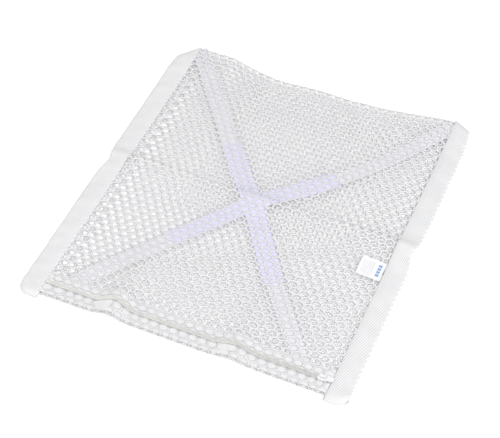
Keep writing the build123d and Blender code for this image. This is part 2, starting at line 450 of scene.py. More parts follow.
@dataclass(frozen=True)
class WebbingFinish:
    """Woven strap with ribs across it, or ridges along it."""

    name: str
    colour: tuple
    across: float
    along: float
    relief: float = 0.18 * MM
    rough: float = 0.6
    sheen: float = 0.1

    def material(self) -> bpy.types.Material:
        """Make the material."""
        recipe = Recipe(self.name)
        place = recipe.on_cloth()
        cross_ribs = recipe.ribs(place, self.across, 0.0, wander=0.3)
        long_ribs = recipe.ribs(place, self.along, math.radians(90.0), wander=0.3)
        patches = recipe.speckle(place, 9.0 * MM, 3.0)
        weave = recipe.mixed("MULTIPLY", cross_ribs, 0.5)
        weave = recipe.mixed("ADD", weave, recipe.mixed("MULTIPLY", long_ribs, 0.5))
        shade = recipe.mixed("MULTIPLY", patches, 0.5)
        shade = recipe.mixed("ADD", recipe.mixed("MULTIPLY", weave, 0.5), shade)
        recipe.colour(recipe.shades(shade, tone(self.colour, 0.92), tone(self.colour, 1.04), 0.2, 0.8))
        recipe.raise_by(weave, self.relief, 0.8)
        recipe.gloss(self.rough, self.sheen)
        return recipe.material


@dataclass(frozen=True)
class PlasticFinish:
    """Moulded plastic with faint mould grain and rubbed patches."""

    name: str
    colour: tuple = (0.82, 0.82, 0.83)
    grain: float = 0.4 * MM
    rough: float = 0.32

    def material(self) -> bpy.types.Material:
        """Make the material."""
        recipe = Recipe(self.name)
        place = recipe.on_object()
        worn = recipe.speckle(place, 4.0 * MM, 4.0)
        grain = recipe.speckle(place, self.grain, 2.0)
        recipe.colour(recipe.shades(worn, tone(self.colour, 0.93), tone(self.colour, 1.03), 0.3, 0.7))
        recipe.raise_by(grain, 0.03 * MM, 0.5)
        recipe.gloss(self.rough, 0.0, 0.5)
        return recipe.material


@dataclass(frozen=True)
class SatinFinish:
    """Satin label with generic printed bars, in the label's own cloth coordinates.

    The label's U runs from its free end at 0 to its seam at 1, and V across it.
    """

    name: str
    colour: tuple = (0.76, 0.76, 0.78)
    bar_colour: tuple = (0.06, 0.22, 0.48)
    bar_along: tuple = (0.74, 0.88)
    bar_across: tuple = (0.16, 0.84)
    bar_strength: float = 0.80
    line_colour: tuple = (0.42, 0.46, 0.52)
    lines_along: tuple = (0.12, 0.62)
    lines_across: tuple = (0.12, 0.88)
    line_strength: float = 0.40

    def material(self) -> bpy.types.Material:
        """Make the material."""
        recipe = Recipe(self.name)
        place = recipe.on_cloth()
        split = recipe.add("ShaderNodeSeparateXYZ")
        recipe.link(place, split.inputs[0])
        along, across = split.outputs[0], split.outputs[1]
        cloudy = recipe.speckle(place, 0.2, 2.0)
        ground = recipe.shades(cloudy, tone(self.colour, 0.96), tone(self.colour, 1.03), 0.3, 0.7)
        bar = self._window(recipe, along, *self.bar_along)
        bar = recipe.mixed("MULTIPLY", bar, self._window(recipe, across, *self.bar_across))
        gaps = recipe.mixed("GREATER_THAN", recipe.ribs(as_direction(recipe, across), 0.17), 0.16)
        bar = recipe.mixed("MULTIPLY", bar, gaps)
        lines = self._window(recipe, along, *self.lines_along)
        lines = recipe.mixed("MULTIPLY", lines, self._window(recipe, across, *self.lines_across))
        rows = recipe.mixed("GREATER_THAN", recipe.ribs(as_direction(recipe, along), 0.10), 0.72)
        lines = recipe.mixed("MULTIPLY", lines, rows)
        printed = self._over(recipe, ground, lines, self.line_colour, self.line_strength)
        printed = self._over(recipe, printed, bar, self.bar_colour, self.bar_strength)
        recipe.colour(printed)
        recipe.raise_by(recipe.ribs(place, 0.02), 0.02 * MM, 0.4)
        recipe.gloss(0.35, 0.2, 0.5)
        return recipe.material

    @staticmethod
    def _window(recipe: Recipe, amount: Socket, low: float, high: float) -> Socket:
        """1 where amount lies between low and high, and 0 elsewhere."""
        above = recipe.mixed("GREATER_THAN", amount, low)
        return recipe.mixed("MULTIPLY", above, recipe.mixed("LESS_THAN", amount, high))

    @staticmethod
    def _over(
        recipe: Recipe, ground: Socket, mask: Socket, colour: Sequence[float], strength: float
    ) -> Socket:
        """Print a colour over the ground where mask is 1."""
        mix = recipe.add("ShaderNodeMix", data_type="RGBA")
        recipe.link(recipe.mixed("MULTIPLY", mask, strength), mix.inputs["Factor"])
        recipe.link(ground, mix.inputs[6])
        mix.inputs[7].default_value = (*colour, 1.0)
        return mix.outputs[2]


def as_direction(recipe: Recipe, amount: Socket) -> Socket:
    """A vector whose X is amount, to count ribs along one of the cloth's directions."""
    combine = recipe.add("ShaderNodeCombineXYZ")
    recipe.link(amount, combine.inputs[0])
    return combine.outputs[0]


class Slot(Enum):
    """The record's material slots."""

    NET = "net"
    TWILL = "twill_tape"
    STRAP = "strap_webbing"
    BAND = "fastening_band"
    ZIP_TAPE = "zipper_tape"
    COIL = "zipper_coil"
    SLIDER = "slider_plastic"
    LABEL = "label_satin"
    THREAD = "thread"


class Wardrobe:
    """All finishes of the bag, one material for each slot."""

    def __init__(self) -> None:
        """Make the materials."""
        finishes = {
            Slot.NET: YarnFinish("net_yarn"),
            Slot.TWILL: TwillFinish("twill_tape"),
            Slot.STRAP: WebbingFinish("strap_webbing", (0.70, 0.69, 0.73), 1.1 * MM, 1.6 * MM),
            Slot.BAND: WebbingFinish("fastening_band", (0.66, 0.65, 0.80), 0.9 * MM, 3.4 * MM),
            Slot.ZIP_TAPE: WebbingFinish("zipper_tape", (0.71, 0.71, 0.72), 0.7 * MM, 1.2 * MM, 0.1 * MM),
            Slot.COIL: PlasticFinish("zipper_coil", (0.87, 0.87, 0.85), 0.3 * MM, 0.38),
            Slot.SLIDER: PlasticFinish("slider_plastic", (0.74, 0.74, 0.75), 0.4 * MM, 0.3),
            Slot.LABEL: SatinFinish("label_satin"),
            Slot.THREAD: YarnFinish(
                "sewing_thread", (0.85, 0.85, 0.86), 0.5 * MM, 0.05 * MM, 0.5, cover=1.0
            ),
        }
        self.materials = {slot: finish.material() for slot, finish in finishes.items()}

    def dress(self, obj: Piece, slot: Slot) -> Piece:
        """Give a piece the material of its slot."""
        obj.data.materials.clear()
        obj.data.materials.append(self.materials[slot])
        return obj


# --- How the bag lies ------------------------------------------------------------------


@dataclass(frozen=True)
class Arm:
    """One arm of the crossed straps in plan, and how high between the nets it lies."""

    band_end: tuple
    corner: tuple
    share: float


CROSSING = (-5.0 * MM, -2.0 * MM)
ARMS = {
    "rear_left": Arm((-0.069, 0.077), (-0.176, 0.216), 0.10),
    "rear_right": Arm((0.075, 0.073), (0.174, 0.212), 0.50),
    "front_left": Arm((-0.072, -0.091), (-0.166, -0.214), 0.50),
    "front_right": Arm((0.066, -0.103), (0.150, -0.214), 0.10),
}


@dataclass(frozen=True)
class Lie:
    """Heights and shifts of the empty bag as it lies with its storage creases.

    pull_by says, in millimetres, how far the rear edge is drawn in at each pull_at.
    """

    half_width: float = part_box("right_tape_front")[1].x
    net_x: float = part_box("right_tape_front")[0].x
    front_y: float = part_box("left_tape_front")[0].y
    rear_y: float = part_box("left_tape_rear")[1].y
    front_fold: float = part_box("front_net_fold")[0].y
    rear_fold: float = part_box("rear_net_fold")[1].y
    seam: float = 4.9 * MM
    side_seam: float = 4.1 * MM
    floor_net: float = 0.5 * MM
    crown: float = 0.9 * MM
    gap: float = 1.4 * MM
    strap_room: float = 0.8 * MM
    crease_reach: float = 42.0 * MM
    crease_fall: float = 6.0 * MM
    crease_height: float = 3.4 * MM
    crease_more: tuple = (1.8 * MM, 2.8 * MM)
    folds_x: tuple = (-88.0 * MM, 61.0 * MM)
    streak_height: float = 1.6 * MM
    corner_height: float = 4.2 * MM
    ripple_height: float = 0.5 * MM
    nip_depth: float = 5.0 * MM
    pull_at: tuple = (-0.200, -0.174, -0.126, -0.066, -0.004, 0.058, 0.111, 0.167, 0.200)
    pull_by: tuple = (7.0, 5.5, 2.5, 17.5, 13.5, 15.5, 9.5, 3.5, 3.0)

    def ridge(self, y: np.ndarray) -> np.ndarray:
        """Profile of the crease across the bag: long front slope, steep rear one."""
        past = y - CREASE_Y
        front = np.clip(1.0 + past / self.crease_reach, 0.0, 1.0) ** 1.6
        rear = np.exp(-np.clip(past, 0.0, None) / self.crease_fall)
        return np.where(past < 0.0, front, rear)

    def ridge_height(self, x: np.ndarray) -> np.ndarray:
        """Height of that crease from side to side."""
        left = self.crease_more[0] * ease((-x - 0.080) / 0.105)
        right = self.crease_more[1] * ease((x - 0.080) / 0.105)
        return self.crease_height + left + right

    def calm(self, x: np.ndarray, y: np.ndarray) -> np.ndarray:
        """0 where the slider stands at either end of the zipper, 1 elsewhere."""
        near_zip = 1.0 - ease((y + 0.180) / 0.030)
        near_end = ease((np.abs(x) - 0.125) / 0.025)
        return 1.0 - near_zip * near_end

    def lift(self, x: np.ndarray, y: np.ndarray) -> np.ndarray:
        """How far the creases raise the cloth."""
        height = self.ridge(y) * self.ridge_height(x)
        front = 1.0 - ease((y + 0.215) / 0.130)
        folds = 5.2 * MM * bump(x - self.folds_x[0], 0.015) + 3.8 * MM * bump(x - self.folds_x[1], 0.017)
        height = height + front * folds
        rear = ease((y - 0.110) / 0.090)
        past = y - 0.205
        streaks = bump(x + 0.069 - 0.04 * past, 0.010) + bump(x - 0.060 + 0.05 * past, 0.010)
        height = height + self.streak_height * rear * streaks
        corner = ease((y - 0.150) / 0.070) * ease((np.abs(x) - 0.090) / 0.080)
        height = height + self.corner_height * corner
        ripple = np.sin(31.0 * x + 9.0 * y) * np.sin(23.0 * y - 14.0 * x + 0.7)
        return np.clip(height + self.ripple_height * ripple * self.calm(x, y), 0.0, None)

    def rise(self, x: np.ndarray, y: np.ndarray) -> np.ndarray:
        """How far the creases raise the sewn edges, nothing where the slider stands."""
        return self.lift(x, y) * self.calm(x, y)

    def net_top(self, x: np.ndarray, y: np.ndarray) -> np.ndarray:
        """Middle height of the upper net."""
        side = ease((self.net_x + 0.004 - np.abs(x)) / 0.026)
        front = ease((y + 0.188) / 0.030)
        rear = ease((self.rear_fold - 0.003 - y) / 0.030)
        seam = self.side_seam + (self.seam - self.side_seam) * side
        proud = (self.crown + 0.5 * self.over_straps(x, y)) * side * front * rear
        return seam + proud + self.rise(x, y)

    def over_straps(self, x: np.ndarray, y: np.ndarray) -> np.ndarray:
        """How much the straps between the nets hold them apart."""
        off_x, off_y = x - CROSSING[0], y - CROSSING[1]
        near = 0.6 * bump(np.hypot(off_x, off_y), 0.030)
        for arm in ARMS.values():
            run = np.array(arm.corner) - CROSSING
            length = np.hypot(*run)
            run = run / length
            along = np.clip(off_x * run[0] + off_y * run[1], 0.0, length)
            away = np.hypot(off_x - along * run[0], off_y - along * run[1])
            near = np.maximum(near, 1.0 - ease((away - 0.011) / 0.016))
        return self.strap_room * near

    def net_floor(self, x: np.ndarray, y: np.ndarray) -> np.ndarray:
        """Middle height of the lower net, which hangs close under the upper one."""
        side = ease((self.net_x - 0.004 - np.abs(x)) / 0.030)
        front = ease((y + 0.190) / 0.035)
        rear = ease((self.rear_fold - 0.004 - y) / 0.030)
        inside = side * front * rear
        gap = self.gap + self.over_straps(x, y)
        apart = (self.side_seam - self.floor_net) * (1.0 - inside) + gap * inside
        return np.maximum(self.floor_net, self.net_top(x, y) - apart)

    def shift(self, x: np.ndarray, y: np.ndarray) -> tuple:
        """How far the cloth is drawn aside, as x and y shifts."""
        rear = ease((y - 0.110) / 0.112)
        pull = -MM * rear * np.interp(x, self.pull_at, self.pull_by)
        near_zip = ease((y + 0.226) / 0.024) * (1.0 - ease((y + 0.196) / 0.055))
        folds = 6.0 * MM * bump(x - self.folds_x[0], 0.014) + 3.0 * MM * bump(x - self.folds_x[1], 0.016)
        nip = bump(y - CREASE_Y + 0.012, 0.016) * ease((np.abs(x) - 0.150) / 0.045)
        return -self.nip_depth * nip * np.sign(x), pull + near_zip * folds


# --- Net -------------------------------------------------------------------------------


@dataclass
class Net:
    """The knitted net, folded round the rear and the front edge, with six-sided holes.

    at_rest and slip say how the lower net lies against the upper one, in x and y.
    """

    lie: Lie
    wardrobe: Wardrobe
    pitch: float = 11.8 * MM
    row: float = 8.15 * MM
    strand: float = 2.8 * MM
    thick: float = 0.55 * MM
    columns: int = 31
    top_rows: int = 52
    floor_rows: int = 54
    strip_rows: int = 2
    fold: float = 2.2 * MM
    at_rest: tuple = (4.9 * MM, 2.2 * MM)
    strip_slip: float = 4.2 * MM
    sewn_in: float = 6.0 * MM

    def hole(self) -> Piece:
        """One hole with its half of the strands around it, upper and lower side."""
        drop_selection()
        bpy.ops.mesh.primitive_circle_add(vertices=6, radius=1.0, fill_type="NOTHING")
        obj = bpy.context.object
        obj.scale = (self.pitch / math.sqrt(3.0), self.row * 2.0 / 3.0, 1.0)
        seat(obj)
        edit(obj)
        bpy.ops.mesh.select_all(action="SELECT")
        bpy.ops.mesh.subdivide(number_cuts=1)
        bpy.ops.mesh.select_all(action="SELECT")
        bpy.ops.mesh.edge_face_add()
        bpy.ops.mesh.select_mode(type="FACE")
        bpy.ops.mesh.select_all(action="SELECT")
        for share in (0.55, 0.45):
            bpy.ops.mesh.inset(thickness=share * self.strand / 2)
        bpy.ops.mesh.select_mode(type="VERT")
        bpy.ops.mesh.vertices_smooth(factor=0.5)
        bpy.ops.mesh.select_mode(type="FACE")
        bpy.ops.mesh.delete(type="ONLY_FACE")
        leave_edit()
        flat = points_of(obj)
        sideways = np.abs(flat[:, 0]) / (self.pitch / 2)
        slanting = np.abs(flat[:, 1]) / (self.row * 2.0 / 3.0) + 0.5 * sideways
        inward = 1.0 - np.maximum(sideways, slanting)
        crest = inward < 1e-4
        rim = inward > 0.75 * inward.max()
        flat[:, 2] = np.where(crest, 0.5, np.where(rim, 0.0, 0.40)) * self.thick
        put_points(obj, flat)
        mirror = obj.modifiers.new("underside", "MIRROR")
        mirror.use_axis = (False, False, True)
        mirror.merge_threshold = MERGE
        apply_modifiers(obj)
        return obj

    def cloth(self, name: str, first_row: int, rows: int) -> Piece:
        """Flat net cloth of some rows, its edges closed.

        Args:
            name: the piece's name.
            first_row: number of the row that the cloth starts with.
            rows: how many rows there are, an even number.

        Returns:
            The cloth, with V measured from the rear fold.
        """
        obj = self.hole()
        obj.name = name
        phase = 0.25 if first_row % 2 else -0.25
        start = (-(self.columns - 1) / 2 + phase) * self.pitch
        points = points_of(obj) + (start, (first_row + 0.5) * self.row, 0.0)
        put_points(obj, points)
        take(obj)
        edit(obj, "FACE")
        bpy.ops.mesh.select_all(action="SELECT")
        bpy.ops.mesh.duplicate()
        bpy.ops.transform.translate(value=(-2.0 * phase * self.pitch, self.row, 0.0))
        leave_edit()
        repeat(obj, self.columns, (self.pitch, 0.0, 0.0), NET_MERGE)
        repeat(obj, rows // 2, (0.0, 2.0 * self.row, 0.0), NET_MERGE)
        tidy_normals(obj, NET_MERGE)
        take(obj)
        edit(obj, "EDGE")
        bpy.ops.mesh.select_all(action="DESELECT")
        bpy.ops.mesh.select_non_manifold(extend=False, use_wire=False, use_multi_face=False,
                                         use_non_contiguous=False, use_verts=False)
        bpy.ops.transform.resize(value=(1.0, 1.0, 0.0), center_override=(0.0, 0.0, 0.0))
        leave_edit()
        tidy_normals(obj, NET_MERGE)
        return obj

    def slip(self, x: np.ndarray, y: np.ndarray) -> tuple:
        """How far the lower net has slipped under the upper one, away from the seams."""
        slant = ease((y - 0.55 * x + 0.120) / 0.080)
        middle = ease((y + 0.060) / 0.045) * (1.0 - ease((np.abs(x) - 0.060) / 0.070))
        apart_x = 0.25 * self.pitch * (middle - slant)
        apart_y = 0.5 * self.row * (middle + slant)
        held = ease((self.lie.rear_fold - 0.004 - y) / 0.030)
        held = held * ease((y - self.lie.front_fold - 0.004) / 0.030)
        held = held * ease((self.lie.net_x + 0.002 - np.abs(x)) / 0.014)
        return held * (self.at_rest[0] - apart_x), held * (self.at_rest[1] - apart_y)

    def follow(self, run: np.ndarray) -> tuple:
        """Follow the cloth from the rear fold over the top, or back along the floor.

        Args:
            run: distance along the flat cloth from the rear fold, negative along the floor.

        Returns:
            Three rows: the y of each point, its turn in radians, from half pi on top to
            minus half pi on the floor, and how far it is past the front fold.
        """
        half_pi = 0.5 * math.pi
        quarter = half_pi * self.fold
        top_path = self.lie.rear_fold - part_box("top_net_front")[0].y - self.fold + quarter
        floor_path = self.lie.rear_fold - self.lie.front_fold - 2.0 * self.fold + 2.0 * quarter
        run = np.where(run > 0.0, run * top_path / (self.top_rows * self.row), run)
        run = np.where(run < 0.0, run * floor_path / (self.floor_rows * self.row), run)
        turn = half_pi * np.clip(run / quarter, -1.0, 1.0)
        y = self.lie.rear_fold - self.fold + self.fold * np.cos(turn)
        y = y - np.clip(np.abs(run) - quarter, 0.0, None)
        past_front = -(run + floor_path)
        front_turn = half_pi * np.clip(past_front / quarter, -1.0, 1.0)
        front_y = self.lie.front_fold + self.fold - self.fold * np.cos(front_turn)
        front_y = front_y + np.clip(past_front - quarter, 0.0, None)
        near_front = past_front > -quarter
        return np.where(near_front, front_y, y), np.where(near_front, front_turn, turn), past_front

    def fold_over(self, obj: Piece) -> None:
        """Lay the flat cloth over the bag's path: top, rear fold, floor, front fold."""
        flat = points_of(obj)
        chart(obj, flat[:, :2])
        x, run, proud = flat.T
        tucked = self.lie.net_x + 2.0 * MM
        x = np.sign(x) * np.minimum(np.abs(x), tucked + 0.35 * np.clip(np.abs(x) - tucked, 0.0, None))
        y, turn, past_front = self.follow(run)
        facing = np.where(past_front > -0.5 * math.pi * self.fold, -1.0, 1.0)
        y = y + facing * np.cos(turn) * proud
        level = 0.5 + 0.5 * np.sin(turn)
        top = self.lie.net_top(x, y)
        floor = self.lie.net_floor(x, y)
        z = floor + (top - floor) * level + np.sin(turn) * proud
        slip_x, slip_y = self.slip(x, y)
        loose = np.clip(1.0 - 4.0 * level, 0.0, 1.0)
        strip = ease(past_front / self.fold) * ease((self.lie.net_x - 0.006 - np.abs(x)) / 0.020)
        x = x + self.strip_slip * strip
        shift_x, shift_y = self.lie.shift(x, y)
        x = x + shift_x + loose * slip_x
        y = y + shift_y + loose * slip_y
        put_points(obj, np.stack([x, y, z], axis=1))

    def build(self) -> list:
        """Make the upper, the lower and the front net."""
        made = []
        floor_start = -self.floor_rows
        strip_start = floor_start - self.strip_rows
        floor_nodes = ("bottom_net_front", "bottom_net_rear", "rear_net_fold")
        plan = (
            ("upper_net", 0, self.top_rows, ("top_net_front", "top_net_rear"), True),
            ("lower_net", floor_start, self.floor_rows, floor_nodes, True),
            ("front_net", strip_start, self.strip_rows, ("front_net_fold",), False),
        )
        for name, first_row, rows, nodes, crosses in plan:
            obj = self.cloth(name, first_row, rows)
            self.fold_over(obj)
            smooth_shade(obj)
            self.wardrobe.dress(obj, Slot.NET)
            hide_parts(*nodes)
            if crosses:
                cross_crease(obj)
            else:
                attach(obj, FRONT)
            made.append(obj)
        return made


def cross_crease(obj: Piece) -> None:
    """Bake the place of a piece that crosses the fold across the middle of the bag into its mesh."""
    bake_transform(obj)


# --- Sewn-on pieces --------------------------------------------------------------------


@dataclass
class Stitching:
    """Rows of thread: one stitch modelled once, then copied along a line."""

    length: float = 3.0 * MM
    gap: float = 0.7 * MM
    radius: float = 0.32 * MM

    def stitch(self) -> Piece:
        """One stitch along X, fat in the middle and sunk at its ends."""
        drop_selection()
        bpy.ops.mesh.primitive_cylinder_add(
            vertices=6, radius=self.radius, depth=self.length * 0.6, end_fill_type="NGON",
            rotation=(0.0, math.radians(90.0), 0.0),
        )
        obj = seat(bpy.context.object)
        for side in (-1.0, 1.0):
            choose_faces(obj, lambda middle: side * middle.x > 0.29 * self.length)
            pull_end(obj, (side * 0.2 * self.length, 0.0, -0.8 * self.radius), (1.0, 0.45, 0.45))
        return obj

    def row(self, name: str, start: Sequence[float], end: Sequence[float]) -> Piece:
        """A row of stitches from one point to another.

        Args:
            name: the row's name.
            start: where it begins.
            end: where it ends.

        Returns:
            The row as one mesh.
        """
        obj = self.stitch()
        obj.name = name
        way = Vector(end) - Vector(start)
        count = max(1, int(way.length // (self.length + self.gap)))
        step = way.length / count
        repeat(obj, count, (step, 0.0, 0.0))
        points = points_of(obj) + (step / 2, 0.0, 0.0)
        turn = np.array(Matrix.Rotation(math.atan2(way.y, way.x), 3, "Z"))
        put_points(obj, points @ turn.T + np.array(start))
        return obj


@dataclass
class SideTape:
    """Twill tape folded over the net's edges along one side of the bag."""

    lie: Lie
    wardrobe: Wardrobe
    side: float
    cuts_along: int = 170
    cuts_across: int = 9
    bevel: float = 1.9 * MM
    end_round: float = 13.0 * MM
    round_reach: float = 30.0 * MM
    slant_reach: float = 62.0 * MM
    stitch_in: float = 3.2 * MM
    fullness: float = 0.10
    waviness: float = 0.24
    seam_dent: float = 0.22
    edge_thinning: float = 0.30
    front_knot: float = 0.25
    tuck: float = 4.0 * MM

    @property
    def word(self) -> str:
        """The side's name."""
        return "left" if self.side < 0 else "right"

    @property
    def slant(self) -> float:
        """How far the rear end's outer corner lies in front of its inner one."""
        return (24.0 if self.side < 0 else 13.0) * MM

    @property
    def width(self) -> float:
        """The folded tape's width."""
        return self.lie.half_width - self.lie.net_x

    def thickness(self, out: np.ndarray, y: np.ndarray, y_lying: np.ndarray) -> np.ndarray:
        """How thick the tape is, as a share of its thickness when pressed flat.

        Args:
            out: 0 at the inner edge and 1 at the outer one.
            y: the place along the straight tape.
            y_lying: the same place on the lying tape.

        Returns:
            The share: less at the seam, at the inner edge and at both ends.
        """
        waves = np.sin(y_lying * 210.0 + 3.0 * out) * np.sin(y_lying * 87.0 + self.side)
        thick = 1.0 + self.fullness * np.sin(math.pi * out) + self.waviness * waves * (0.4 + 0.6 * out)
        thick = thick - self.seam_dent * bump(out * self.width - self.stitch_in, 1.4 * MM)
        thick = thick - self.edge_thinning * (1.0 - ease(out * self.width / (2.6 * MM)))
        thick = thick + self.front_knot * bump(y - self.lie.front_y - 9.0 * MM, 7.0 * MM)
        thick = thick * np.sqrt(np.clip((y - self.lie.front_y) / (3.0 * MM), 0.12, 1.0))
        return thick * np.sqrt(np.clip((self.lie.rear_y - y) / (2.5 * MM), 0.2, 1.0))

    def drape(self, points: np.ndarray) -> np.ndarray:
        """Points of the straight tape, moved to where the tape lies.

        Args:
            points: rows of x, y, z on the straight tape.

        Returns:
            The same points on the lying tape.
        """
        x, y, z = points.T
        out = np.clip((np.abs(x) - self.lie.net_x) / self.width, 0.0, 1.0)
        corner = np.clip(out * self.width - (self.width - self.end_round), 0.0, self.end_round)
        rounding = self.end_round - np.sqrt(self.end_round**2 - corner**2)
        near_front = np.clip((self.lie.front_y + self.round_reach - y) / self.round_reach, 0.0, 1.0)
        near_rear = np.clip((y - self.lie.rear_y + self.slant_reach) / self.slant_reach, 0.0, 1.0)
        y_lying = y + near_front * rounding - near_rear * self.slant * out
        middle = 0.42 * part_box("left_tape_front")[1].z
        thick = self.thickness(out, y, y_lying)
        z = np.where(z > middle, middle + (z - middle) * thick, z) + self.lie.rise(x, y_lying)
        shift_x, shift_y = self.lie.shift(x, y_lying)
        tucked = -self.side * self.tuck * near_rear**2 * out
        return np.stack([x + shift_x * out + tucked, y_lying + shift_y, z], axis=1)

    def build(self) -> list:
        """Make the tape and its stitches."""
        low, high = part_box(f"{self.word}_tape_front")
        rear_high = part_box(f"{self.word}_tape_rear")[1]
        tape = block(f"{self.word}_tape", low, (high.x, rear_high.y, high.z))
        bevel_along(tape, 1, self.bevel, 3)
        cut_across(tape, 1, self.cuts_along)
        cut_across(tape, 0, self.cuts_across)
        tidy_normals(tape)
        points = points_of(tape)
        chart(tape, np.stack([points[:, 0] + points[:, 2], points[:, 1]], axis=1))
        put_points(tape, self.drape(points))
        smooth_shade(tape, math.radians(60.0))
        self.wardrobe.dress(tape, Slot.TWILL)
        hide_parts(f"{self.word}_tape_front", f"{self.word}_tape_rear")
        cross_crease(tape)
        row_x = self.side * (self.lie.net_x + self.stitch_in)
        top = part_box(f"{self.word}_tape_front")[1].z - 0.3 * MM
        row = Stitching().row(
            f"{self.word}_tape_stitches",
            (row_x, self.lie.front_y + 6.0 * MM, top),
            (row_x, self.lie.rear_y - 8.0 * MM, top),
        )
        drape_by(row, self.drape)
        smooth_shade(row)
        self.wardrobe.dress(row, Slot.THREAD)
        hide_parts(f"{self.word}_tape_stitches_front", f"{self.word}_tape_stitches_rear")
        cross_crease(row)
        return [tape, row]


@dataclass
class Zipper:
    """Coil zipper across the bag: tapes, two coils, end tacks, seams and slider."""

    lie: Lie
    wardrobe: Wardrobe
    coil_pitch: float = 1.45 * MM
    mesh_in: float = 0.7 * MM

    def raised(self, points: np.ndarray) -> np.ndarray:
        """Points lifted by the creases that cross the zipper."""
        x, y, z = points.T
        return np.stack([x, y + self.lie.shift(x, y)[1], z + self.lie.rise(x, y)], axis=1)

    def tape(self, side: str) -> Piece:
        """One woven zipper tape."""
        node = f"zipper_tape_{side}"
        low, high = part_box(node)
        obj = block(f"{side}_zipper_tape", low, high)
        cut_across(obj, 0, 150)
        cut_across(obj, 1, 4)
        tidy_normals(obj)
        drape_by(obj, self.raised)
        smooth_shade(obj, math.radians(50.0))
        self.wardrobe.dress(obj, Slot.ZIP_TAPE)
        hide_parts(node)
        return obj

    def coil(self, side: str) -> Piece:
        """One coil: a loop of monofilament, modelled once and copied along the tape."""
        node = f"zipper_coil_{side}"
        low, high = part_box(node)
        inward = 1.0 if side == "front" else -1.0
        middle_y = (low.y + high.y) / 2 + inward * self.mesh_in / 2
        depth = high.y - low.y + self.mesh_in
        tall = high.z - low.z
        drop_selection()
        bpy.ops.mesh.primitive_cylinder_add(
            vertices=8, radius=0.5, depth=1.0, end_fill_type="NGON", rotation=(math.radians(90.0), 0.0, 0.0)
        )
        loop = bpy.context.object
        loop.scale = (0.62 * self.coil_pitch, 0.9 * depth, tall)
        seat(loop)
        for way in (-1.0, 1.0):
            choose_faces(loop, lambda middle: way * middle.y > 0.4 * depth)
            pull_end(loop, (0.0, way * 0.10 * depth, 0.0), (0.55, 1.0, 0.6))
        stagger = inward * 0.25 * self.coil_pitch
        count = int((high.x - low.x) / self.coil_pitch)
        start = low.x + (high.x - low.x - (count - 1) * self.coil_pitch) / 2 + stagger
        put_points(loop, points_of(loop) + (start, middle_y, (low.z + high.z) / 2))
        repeat(loop, count, (self.coil_pitch, 0.0, 0.0))
        loop.name = f"{side}_coil"
        put_points(loop, self.raised(points_of(loop)))
        tidy_normals(loop)
        smooth_shade(loop, math.radians(50.0))
        self.wardrobe.dress(loop, Slot.COIL)
        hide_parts(node)
        return loop

    def seams(self) -> Piece:
        """The two rows of stitches that hold the nets to the zipper tapes."""
        low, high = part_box("zipper_seam_stitches")
        rows = []
        for y in (low.y + 0.2 * MM, high.y - 0.2 * MM):
            rows.append(Stitching().row("seam", (low.x, y, high.z), (high.x, y, high.z)))
        obj = join(rows, "zipper_seams")
        drape_by(obj, self.raised)
        smooth_shade(obj)
        self.wardrobe.dress(obj, Slot.THREAD)
        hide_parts("zipper_seam_stitches")
        return obj

    def tacks(self) -> Piece:
        """Bars of thread over the chain at both ends."""
        low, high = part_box("zipper_end_tacks")
        bars = []
        for x in (low.x + 0.2 * MM, low.x + 1.2 * MM, high.x - 1.2 * MM, high.x - 0.2 * MM):
            thread = Stitching(length=high.y - low.y, gap=0.0, radius=0.45 * MM)
            bars.append(thread.row("bar", (x, low.y, high.z), (x, high.y, high.z)))
        obj = join(bars, "zipper_tacks")
        chart(obj, points_of(obj)[:, :2])
        smooth_shade(obj)
        self.wardrobe.dress(obj, Slot.THREAD)
        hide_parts("zipper_end_tacks")
        return obj

    def build(self) -> list:
        """Make the zipper and dress its slider and pull."""
        made = [self.tape("front"), self.tape("rear"), self.coil("front"), self.coil("rear")]
        made += [self.seams(), self.tacks()]
        for obj in made:
            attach(obj, FRONT)
        for node in ("slider_body", "pull_tab"):
            self.wardrobe.dress(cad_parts[node], Slot.SLIDER)
        return made


